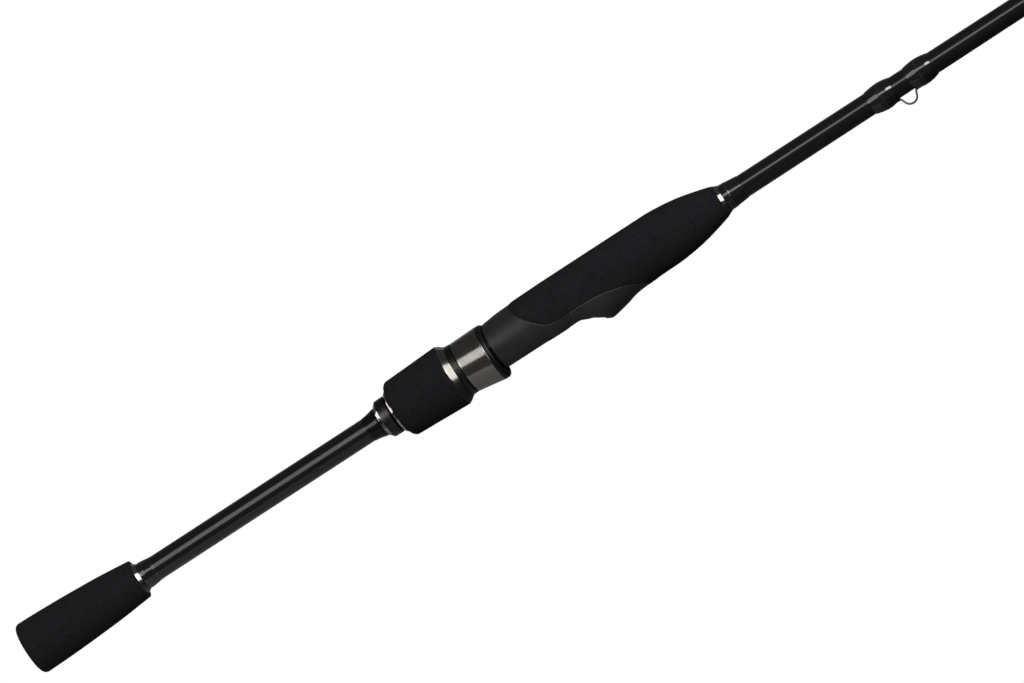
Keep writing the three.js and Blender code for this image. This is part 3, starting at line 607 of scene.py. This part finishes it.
# ------------------------------------------------------------------ locking nut
piece(turned("nut_rear_ring", [(200.3, 9.66, 0), (200.3, 9.95, 0.05), (201.1, 10.68, 0.18), (201.4, 10.68, 0.1), (201.4, 9.66, 0)], 144),
      "locking_nut", "bright_trim", "nut_rear_trim_ring")
xs = np.linspace(204.3, 230.6, 30)
outer = [(x, r, 0) for x, r in zip(xs, smooth_at(NUT_GRIP, xs))]
lead = [(201.6, 10.85, 0), (201.7, 11.4, 0), (201.92, 12.0, 0), (202.3, 12.65, 0), (202.8, 13.2, 0), (203.45, 13.7, 0)]
grip = turned("nut_grip_foam", lead + outer + [(231.8, 15.12, 0.45), (231.8, 13.75, 0.1), (230.2, 13.75, 0), (230.2, 10.55, 0), (201.6, 10.55, 0)], 160)
piece(grip, "locking_nut", "eva_foam", "nut_grip")
piece(turned("nut_front_cone", [(231.95, 12.95, 0.1), (231.95, 14.9, 0.22), (232.5, 14.62, 0.3), (235.35, 12.62, 0.25), (235.35, 12.05, 0.1),
                                (233.65, 12.05, 0), (233.65, 12.95, 0)], 160), "locking_nut", "gunmetal", "nut_front_collar")


# ------------------------------------------------------------------ sliding hood
piece(turned("hood_thrust_ring", [(235.5, 11.85, 0), (235.5, 12.68, 0.22), (237.9, 12.58, 0.25), (237.9, 11.85, 0)], 144),
      "hood", "dark_ring", "hood_slip_ring")
hood = eccentric("hood_lip", [
    (232.15, 12.6, 12.6, 0.15), (233.4, 12.6, 12.6, 0.15), (233.4, 11.7, 11.7, 0), (237.95, 11.7, 11.75, 0),
    (252.1, 12.0, 13.85, 0), (252.1, 12.70, 14.66, 0.2), (253.2, 12.70, 14.72, 0.5), (254.3, 12.45, 14.2, 0.6), (254.8, 11.9, 13.3, 0.3),
    (254.8, 11.1, 12.5, 0.3), (252.0, 11.05, 12.9, 0.5), (239.2, 11.05, 11.25, 0), (232.15, 11.05, 11.05, 0)], 160)
for v in hood.data.vertices:              # the mouth is scooped back at the sides
    x, y, z = v.co / MM
    if x > 252.2:
        v.co.x -= 0.75 * MM * (x - 252.2) / 2.6 * (y * y / (y * y + z * z))
for s in (-1, 1):
    carve(hood, boxed("t", 239.5, 251.5, min(s * 10.1, s * 11.35), max(s * 10.1, s * 11.35), -1.1, 1.1), "UNION")
piece(hood, "hood", "black_plastic", "hood_body")
piece(eccentric("hood_sleeve", [
    (238.45, 11.88, 12.0, 0), (238.45, 12.46, 12.66, 0.34), (241.5, 12.53, 13.08, 1.2), (247, 12.66, 13.93, 1.2), (252.0, 12.80, 14.76, 0.7),
    (252.0, 12.15, 14.02, 0)], 176), "hood", "gunmetal", "hood_cover")


# ------------------------------------------------------------------ seat body and foregrip
def seam_curve():
    p = spline_points([(x, 0, z) for x, z in SEAM], 6)
    return p[:, [0, 2]]


SEAM_FINE = seam_curve()


def section(x):
    """Top radius, half width, depth below, its exponent, and the level of the flat underneath, at x."""
    return [float(smooth_at(t, [x])[0]) for t in (ENV_TOP, ENV_HALF, ENV_DEEP, ENV_POWER, PAD)]


def envelope(name, x0, x1, seg=224):
    """The outer shape that the seat body and the foregrip share."""
    xs = np.unique(np.round(np.concatenate([np.arange(x0, x1, 0.8), [x1]]), 3))
    verts, rings = [], []
    th = np.linspace(0, 2 * np.pi, seg, endpoint=False)
    s, c = np.sin(th), np.cos(th)
    for x in xs:
        rt, w, d, p, flat = section(x)
        up = c >= 0
        y = np.where(up, w * s + (rt - w) * s * c, w * np.sign(s) * np.abs(s) ** (2 / p))
        z = np.where(up, rt * c, -d * np.abs(c) ** (2 / p))
        k = 0.5
        z = np.where(z < -6, (z - flat + np.sqrt((z + flat) ** 2 + k * k)) / 2, z)
        rings.append(list(range(len(verts), len(verts) + seg)))
        verts += [(x, a, b) for a, b in zip(y, z)]
    faces = [(rings[i][j], rings[i][(j + 1) % seg], rings[i + 1][(j + 1) % seg], rings[i + 1][j])
             for i in range(len(rings) - 1) for j in range(seg)]
    for end, x, flip in ((rings[0], xs[0], True), (rings[-1], xs[-1], False)):
        verts.append((x, 0, 0))
        for j in range(seg):
            q = (end[j], end[(j + 1) % seg], len(verts) - 1)
            faces.append(tuple(reversed(q)) if flip else q)
    return mesh_object(name, verts, faces)


def seam_on_surface():
    """The seam's line on the envelope's +Y side, from the top centre to the bottom centre."""
    out = []
    for x, z in SEAM_FINE:
        rt, w, d, p, flat = section(x)
        if z >= 0:
            c = min(1.0, z / rt)
            sn = math.sqrt(max(0.0, 1 - c * c))
            y = w * sn + (rt - w) * sn * c
        else:
            if -z >= d:
                break
            c = (-z / d) ** (p / 2)
            y = w * math.sqrt(max(0.0, 1 - c * c)) ** (2 / p)
        out.append((x, y, z))
    x, y, z = out[0]
    r = section(x)[0]
    head = [(270.33, y * k, math.sqrt(r * r - (y * k) ** 2)) for k in (-0.4, 0.0, 0.35, 0.7)]
    x, y, z = out[-1]
    d = section(x + 0.35)[2]
    tail = [(x + 0.2, y * 0.6, (z - d) / 2 - 0.05), (x + 0.35, 0, -d), (x + 0.2, -y * 0.6, (z - d) / 2 - 0.05)]
    return np.array(head + out + tail)


def seam_groove(radius, lift=0.0):
    """A bead along the seam, on both sides, standing this far off the surface, to be cut from the edges there."""
    line = seam_on_surface()
    out = line * np.array([0, 1, 1])
    line = line + out / np.linalg.norm(out, axis=1)[:, None] * lift
    a = swept("t", line, radius, 14)
    b = swept("t2", line * np.array([1, -1, 1]), radius, 14)
    return carve(a, b, "UNION")


def core(r, x0, x1):
    return turned("t", [(x0, 0, 0), (x0, r, 0), (x1, r, 0), (x1, 0, 0)], 96)


seat = envelope("reel_seat_shell", 255.2, 336.0)
below = [(x - 0.12, z - 0.14) for x, z in SEAM_FINE]
carve(seat, across("t", [(250, -30), (332.6, -30)] + below[::-1] + [(270.25, 30), (250, 30)], -25, 25), "INTERSECT")
carve(seat, seam_groove(1.25, 1.06))
carve(seat, core(10.3, 255.2, 344.5), "UNION")
mouth = [(288, -PAD_Z), (321.0, -PAD_Z), (321.5, -11.3), (321.5, -12.7), (320.9, -13.3), (305.9, -15.67), (305.4, -16.3), (305.4, -24), (288, -24)]
carve(seat, across("t", mouth, -6.7, 6.7))
carve(seat, turned("t", [(250, 0, 0), (250, 9.5, 0), (262.2, 9.5, 0), (262.2, 0, 0)], 96))
carve(seat, turned("t", [(250, 0, 0), (250, 7.6, 0), (350, 7.6, 0), (350, 0, 0)], 64))
piece(seat, "rod", "soft_touch", "reel_seat_body")

fore = envelope("foregrip_foam", 268.0, 378.2)
carve(fore, across("t", [tuple(p) for p in SEAM_FINE] + [(333.0, -30), (379, -30), (379, 30), (270.4, 30)], -25, 25), "INTERSECT")
carve(fore, seam_groove(0.26))
carve(fore, core(10.55, 250, 344.9))
carve(fore, turned("t", [(250, 0, 0), (250, 5.85, 0), (390, 5.85, 0), (390, 0, 0)], 72))
piece(fore, "rod", "eva_foam", "foregrip")

piece(turned("front_check_cone", [(378.45, 5.65, 0), (378.45, 7.3, 0.12), (380.25, 6.5, 0.12), (380.25, 5.65, 0)], 128),
      "rod", "bright_trim", "front_winding_check")
piece(turned("front_winding", [(380.35, 5.6, 0), (380.35, 6.45, 0.25), (383.4, 6.38, 0.6), (383.75, 6.2, 0.3), (386.8, 5.9, 1.2), (389.5, 5.62, 0.4), (389.5, 5.57, 0)], 96),
      "rod", "epoxy_wrap", "front_check_wrap")


# ------------------------------------------------------------------ windings, hook keeper
def winding(name, table, x0, x1, crown, foot, node_name, body, seg=72, swell=1.15, clear=0.06, ramp_side=0, lens=None):
    """Thread and epoxy over the blank; fuller on the underside where a foot lies beneath."""
    xs = np.linspace(x0, x1, 34)
    t = (xs - x0) / (x1 - x0)
    base = smooth_at(table, xs) + clear
    dome = np.clip(np.minimum(t, 1 - t) / 0.22, 0, 1)
    dome = np.sin(dome * math.pi / 2) ** 0.8
    if lens is not None:                      # the finish stands in one long hump, highest at this share of the length
        q = np.where(t < lens, t / lens, (1 - t) / (1 - lens))
        dome = 0.16 + 0.84 * np.sin(np.clip(q, 0, 1) * math.pi / 2)
    rise = dome.copy()
    if ramp_side:
        q = t if ramp_side > 0 else 1 - t
        rise = np.clip(q / 0.35, 0, 1) ** 0.8 * np.clip((1 - q) / 0.05, 0, 1) ** 0.5
    rows = [(x, b, b, 0) for x, b in zip(xs[::-1], base[::-1])]
    rows += [(x, b + 0.05 + (crown - 0.05) * d, b + 0.05 + (crown - 0.05) * d + (swell * e if foot else 0), 0)
             for x, b, d, e in zip(xs, base, dome, rise)]
    ob = eccentric(name, rows, seg, weight=lambda th: max(0.0, -math.cos(th)) ** 2.2, sharp=40)
    if foot:
        carve(ob, boxed("t", *foot), sharp=40)
    return piece(ob, body, "epoxy_wrap", node_name)


zf = -(at(BLANK_BUTT, 466) + 0.62)
path = spline_points([(461.5, 0, zf), (465, 0, zf), (469, 0, zf), (470.9, 0, zf - 0.02), (471.75, 0, zf - 0.35), (472.15, 0, -7.2), (472.9, 0, -8.9),
                      (474.2, 0, -10.0), (475.7, 0, -10.35), (477.2, 0, -10.0), (478.5, 0, -8.9), (479.25, 0, -7.2), (479.65, 0, zf - 0.35),
                      (480.5, 0, zf - 0.02), (482.5, 0, zf), (486, 0, zf), (490.0, 0, zf)], 8)
piece(swept("keeper_wire", path, 0.47, 20), "rod", "guide_steel", "hook_keeper")
winding("keeper_winding_rear", BLANK_BUTT, 459.0, 471.6, 0.98, (461.0, 476, -0.55, 0.55, zf - 0.55, zf + 0.75), "keeper_wrap_rear", "rod", 96, swell=0.45, lens=0.55)
winding("keeper_winding_front", BLANK_BUTT, 479.8, 492.3, 0.92, (476, 490.5, -0.55, 0.55, zf - 0.55, zf + 0.75), "keeper_wrap_front", "rod", 96, swell=0.45, lens=0.5)


# ------------------------------------------------------------------ tip section and guides
xs = np.unique(np.concatenate([np.arange(985, 1973.5, 12.0), [1973.5]]))
rows = [(1700, 0, 0), (1699.5, 1.2, 0), (1300, 2.9, 0), (1054, 3.7, 0), (1052, 4.0, 0), (985, 4.12, 0)]
rows += [(x, r, 0) for x, r in zip(xs, smooth_at(BLANK_TIP, xs))] + [(1974, 0.8, 0), (1974, 0, 0)]
piece(turned("blank_upper", rows, 64), "tip_section", "carbon_blank", "blank_tip_section")
winding("ferrule_winding", BLANK_TIP, 986, 1008, 0.5, None, "ferrule_wrap", "tip_section", 80)

FOOT_T = 0.6


def foot_bar(name, x0, x1, z, w0, w1, t):
    """A ground-down guide foot, domed across, narrowing to its end."""
    n = 12
    verts, rings = [], []
    for i in range(n + 1):
        u = i / n
        x, w = x0 + (x1 - x0) * u, (w0 + (w1 - w0) * u) / 2
        h = t * (1 - 0.45 * u)
        if i == n:
            w, h = w * 0.6, h * 0.6
        zt = z + t
        ring = [(x, -w, zt), (x, -w, zt - h * 0.55), (x, -w * 0.6, zt - h * 0.92), (x, 0, zt - h), (x, w * 0.6, zt - h * 0.92), (x, w, zt - h * 0.55), (x, w, zt)]
        rings.append(list(range(len(verts), len(verts) + 7)))
        verts += ring
    faces = [(rings[i][k], rings[i][(k + 1) % 7], rings[i + 1][(k + 1) % 7], rings[i + 1][k]) for i in range(n) for k in range(7)]
    faces += [tuple(reversed(rings[0])), tuple(rings[-1])]
    return mesh_object(name, verts, faces)


def shift(rows, x):
    return [(r[0] + x, *r[1:]) for r in rows]


def ring_at(name, rows, xc, zc, seg):
    ob = turned(name, shift(rows, xc), seg)
    ob.data.transform(Matrix.Translation((0, 0, zc * MM)))
    return ob


def guide(name, xc, ro, ri, drop, twin):
    table = BLANK_BUTT if xc < FERRULE_START else BLANK_TIP
    body = "rod" if xc < FERRULE_START else "tip_section"
    big = ro > 5
    R = at(table, xc)
    zc = -(R + drop)
    w = 2.0 if big else 1.5
    cad_bore = ro + 0.1
    band_in = ro + 0.02
    band_out = cad_bore / math.cos(math.pi / (16 if big else 12)) + 0.75
    rr = (band_in + band_out) / 2 + 0.05
    frame_ob = ring_at(name + "_frame_fine", [(-w / 2, band_in, 0.08), (-w / 2, band_out, 0.22), (w / 2, band_out, 0.22), (w / 2, band_in, 0.08)], xc, zc, 72)
    mid = (ro + ri) / 2
    ring = ring_at(name + "_ring_fine", [(-w / 2, ro, 0.1), (-w / 2 - 0.15, mid + 0.25 * (ro - ri), 0.15), (-w / 2 - 0.1, mid - 0.1, 0.25), (-0.6, ri + 0.08, 0.4), (0.6, ri + 0.08, 0.4),
                                         (w / 2 + 0.1, mid - 0.1, 0.25), (w / 2 + 0.15, mid + 0.25 * (ro - ri), 0.15), (w / 2, ro, 0.1)], xc, zc, 72)
    piece(ring, body, "guide_ceramic", name + "_ring")

    def foot_z(x):
        return -(at(table, x) + 0.3)
    run = drop * 0.85
    flen = 15 if big else 10
    w0, w1, cw = (2.2, 1.3, 1.25) if big else (1.5, 1.0, 0.85)
    leg = 0.62 if big else 0.48
    xr = xc - run
    zr = foot_z(xr - flen) - FOOT_T
    a = 0.85 if big else 0.75
    for s in (-1, 1):
        top = (xc, s * rr * math.sin(a), zc + rr * math.cos(a))
        p = spline_points([top, (xc - run * 0.42, s * rr * math.sin(a) * 0.72, zc + rr * math.cos(a) + (zr - zc - rr * math.cos(a)) * 0.48),
                           (xr + 1.2, s * 0.62, zr + 0.1), (xr - 1.6, s * 0.40, zr + FOOT_T / 2)], 10)
        n = len(p)
        carve(frame_ob, swept("t", p, np.linspace(leg * 1.15, leg * 0.9, n), 16), "UNION")
        if twin:
            xf = xc + run * 0.32
            zt = foot_z(xf) - FOOT_T
            b = a * 0.6
            p = spline_points([(xc, s * rr * math.sin(b), zc + rr * math.cos(b)),
                               (xc + run * 0.16, s * rr * math.sin(b) * 0.7, zc + rr * math.cos(b) + (zt - zc - rr * math.cos(b)) * 0.55),
                               (xf - 0.8, s * 0.66, zt + 0.05), (xf + 1.8, s * 0.42, zt + FOOT_T / 2)], 10)
            carve(frame_ob, swept("t", p, np.linspace(leg * 1.1, leg * 0.9, len(p)), 16), "UNION")
    carve(frame_ob, foot_bar("t", xr + 0.4, xr - flen, zr, w0, w1, FOOT_T), "UNION")
    if twin:
        carve(frame_ob, foot_bar("t", xf - 0.4, xf + flen, foot_z(xf) - FOOT_T, w0, w1, FOOT_T), "UNION")
    # nothing of the legs stays inside the ring's seat
    carve(frame_ob, ring_at("t", [(-3, 0, 0), (-3, band_in, 0), (3, band_in, 0), (3, 0, 0)], xc, zc, 72))
    piece(frame_ob, body, "guide_steel", name + "_frame")
    winding(name + "_winding_rear", table, xr - flen - 2.6, xr - 2.0, 0.42, (xr - flen - 0.2, xr + 4, -cw, cw, zr - 0.12, zr + FOOT_T + 0.45),
            name + "_wrap_rear", body, 72, ramp_side=1)
    if twin:
        zt = foot_z(xf) - FOOT_T
        winding(name + "_winding_front", table, xf + 2.2, xf + flen + 2.6, 0.42, (xf - 4, xf + flen + 0.2, -cw, cw, zt - 0.12, zt + FOOT_T + 0.45),
                name + "_wrap_front", body, 72, ramp_side=-1)


for g in GUIDES:
    guide(*g)

# tip-top
xt, ro, ri, zc = 1977.2, 3.4, 2.35, -4.6
band_in, band_out = ro + 0.02, (ro + 0.1) / math.cos(math.pi / 12) + 0.65
top = turned("tip_top_fine", [(1958, 0, 0), (1958, 1.75, 0.15), (1975.9, 1.75, 0.8), (1976.8, 1.3, 0.3), (1976.8, 0, 0)], 64)
carve(top, ring_at("t", [(-0.75, band_in, 0.06), (-0.75, band_out, 0.2), (0.75, band_out, 0.2), (0.75, band_in, 0.06)], xt, zc, 64), "UNION")
for s in (-1, 1):
    p = spline_points([(1960.5, s * 1.5, -0.6), (1966, s * 2.2, -2.0), (1972, s * 3.3, -3.6), (xt, s * (band_in + 0.35), zc)], 10)
    carve(top, swept("t", p, 0.45, 16), "UNION")
carve(top, turned("t", [(1950, 0, 0), (1950, 1.35, 0), (1975.2, 1.35, 0), (1975.2, 0, 0)], 48))
carve(top, ring_at("t", [(-2, 0, 0), (-2, band_in, 0), (2, band_in, 0), (2, 0, 0)], xt, zc, 64))
piece(top, "tip_section", "guide_steel", "tip_top_frame")
mid = (ro + ri) / 2
piece(ring_at("tip_top_ring_fine", [(-0.75, ro, 0.08), (-0.9, mid + 0.2, 0.12), (-0.85, mid - 0.1, 0.2), (-0.4, ri + 0.05, 0.25), (0.4, ri + 0.05, 0.25), (0.85, mid - 0.1, 0.2),
                                    (0.9, mid + 0.2, 0.12), (0.75, ro, 0.08)], xt, zc, 64), "tip_section", "guide_ceramic", "tip_top_ring")
winding("tip_top_winding", BLANK_TIP, 1950.5, 1957.8, 0.4, None, "tip_top_wrap", "tip_section", 64)


# ------------------------------------------------------------------ camera, light, floor
YAW, ROLL, FAR = math.radians(8.8), 0.576600, 10.0
TARGET = Vector((0.26286, 0.0, -0.00190))
look = Vector((-math.sin(YAW), math.cos(YAW), 0))
along = Vector((math.cos(YAW), math.sin(YAW), 0))
up0 = Vector((0, 0, 1))
right = along * math.cos(ROLL) - up0 * math.sin(ROLL)
upv = along * math.sin(ROLL) + up0 * math.cos(ROLL)
cam_data = bpy.data.cameras.new("camera")
cam_data.lens, cam_data.sensor_width = 778.15, 36.0
cam_data.clip_start, cam_data.clip_end = 0.1, 400.0
cam = bpy.data.objects.new("camera", cam_data)
SCENE.collection.objects.link(cam)
loc = TARGET - look * FAR
cam.matrix_world = Matrix(((right.x, upv.x, -look.x, loc.x), (right.y, upv.y, -look.y, loc.y), (right.z, upv.z, -look.z, loc.z), (0, 0, 0, 1)))
SCENE.camera = cam

SCENE.view_settings.view_transform = "Standard"
world = bpy.data.worlds.new("world")
SCENE.world = world
world.use_nodes = True
nt = world.node_tree
nt.nodes.clear()
out = nt.nodes.new("ShaderNodeOutputWorld")
mix = nt.nodes.new("ShaderNodeMixShader")
lp = nt.nodes.new("ShaderNodeLightPath")
seen, dim = nt.nodes.new("ShaderNodeBackground"), nt.nodes.new("ShaderNodeBackground")
seen.inputs["Color"].default_value = (1, 1, 1, 1)
dim.inputs["Color"].default_value = (0.083, 0.081, 0.081, 1)
nt.links.new(lp.outputs["Is Camera Ray"], mix.inputs["Fac"])
nt.links.new(dim.outputs[0], mix.inputs[1])
nt.links.new(seen.outputs[0], mix.inputs[2])
nt.links.new(mix.outputs[0], out.inputs["Surface"])


def softbox(name, place, aim, size_x, size_y, power):
    data = bpy.data.lights.new(name, "AREA")
    data.shape, data.size, data.size_y, data.energy = "RECTANGLE", size_x, size_y, power
    ob = bpy.data.objects.new(name, data)
    SCENE.collection.objects.link(ob)
    p, q = Vector(place), Vector(aim)
    z = (p - q).normalized()
    x = Vector((1, 0, 0))
    x = (x - z * x.dot(z)).normalized()
    y = z.cross(x)
    ob.matrix_world = Matrix(((x.x, y.x, z.x, p.x), (x.y, y.y, z.y, p.y), (x.z, y.z, z.z, p.z), (0, 0, 0, 1)))
    ob.visible_camera = False
    return ob


def around(elevation, side, dist, x=0.5):
    e = math.radians(elevation)
    return (x, side * math.cos(e) * dist, math.sin(e) * dist)


def panel(name, place, aim, wide, high, radiance):
    """A softbox given by its brightness."""
    return softbox(name, place, aim, wide, high, radiance * wide * high * math.pi)


panel("front_left", around(25, -1, 1.7, -0.22), (-0.22, 0, 0), 0.46, 1.06, 1.65)
panel("front_right", around(24, -1, 1.7, 1.16), (1.16, 0, 0), 2.3, 0.52, 2.0)
panel("side_left", (-0.77, -1.44, 0.62), (0.30, 0, 0), 0.74, 0.72, 6.0)
panel("side_right", (1.04, -1.42, 0.82), (0.30, 0, 0), 0.55, 0.60, 6.0)
panel("right", (1.55, -0.80, 0.38), (0.25, 0, 0.1), 1.05, 1.35, 3.0)
panel("left", (-1.25, 0.41, 0.28), (0.19, 0, 0), 0.9, 0.5, 3.0)
panel("back", around(28, 1, 1.7, 0.5), (0.5, 0, 0), 3.0, 0.5, 0.22)

floor_me = bpy.data.meshes.new("floor")
n = 24
fx, fy = np.meshgrid(np.linspace(-1.6, 3.6, n), np.linspace(-0.55, 1.75, n), indexing="ij")
verts = [(float(a), float(b), -0.45) for a, b in zip(fx.ravel(), fy.ravel())]
faces = [(i * n + j, (i + 1) * n + j, (i + 1) * n + j + 1, i * n + j + 1) for i in range(n - 1) for j in range(n - 1)]
floor_me.from_pydata(verts, [], faces)
floor = bpy.data.objects.new("floor", floor_me)
SCENE.collection.objects.link(floor)
m, nt, b = material("floor_paper")
grain = noise(nt, coords(nt), 6, 3, 0.5)
nt.links.new(ramp(nt, grain, [(0.3, (0.105, 0.105, 0.105)), (0.7, (0.115, 0.115, 0.115))]), b.inputs["Base Color"])
b.inputs["Roughness"].default_value = 0.95
b.inputs["Emission Color"].default_value = (1, 1, 1, 1)
b.inputs["Emission Strength"].default_value = 0.80
# the paper reads pale to the camera but sends little light back up at the dark rod; what the rod sees of it is a
# painted pool of light, lighter under the butt and darker toward the tip, which sets the bounce light and the
# reflections along the rod
shade = nt.nodes.new("ShaderNodeBsdfDiffuse")
sheet = nt.nodes.new("ShaderNodeSeparateXYZ")
nt.links.new(coords(nt), sheet.inputs[0])
# painted light pool: the colour the rod sees falls from pale at the butt end to near black toward the tip
nt.links.new(ramp(nt, spread(nt, sheet.outputs["X"], 0.0, 1.0, -0.2, 0.8), [(0.0, (0.60, 0.60, 0.60)), (0.25, (0.42, 0.42, 0.42)), (0.40, (0.25, 0.25, 0.25)), (0.50, (0.18, 0.18, 0.18)), (0.60, (0.07, 0.07, 0.07)), (0.75, (0.04, 0.04, 0.04))]), shade.inputs["Color"])
path, two = nt.nodes.new("ShaderNodeLightPath"), nt.nodes.new("ShaderNodeMixShader")
nt.links.new(path.outputs["Is Camera Ray"], two.inputs["Fac"])
nt.links.new(shade.outputs[0], two.inputs[1])
nt.links.new(b.outputs[0], two.inputs[2])
nt.links.new(two.outputs[0], nt.nodes["Material Output"].inputs["Surface"])
floor_me.materials.append(m)
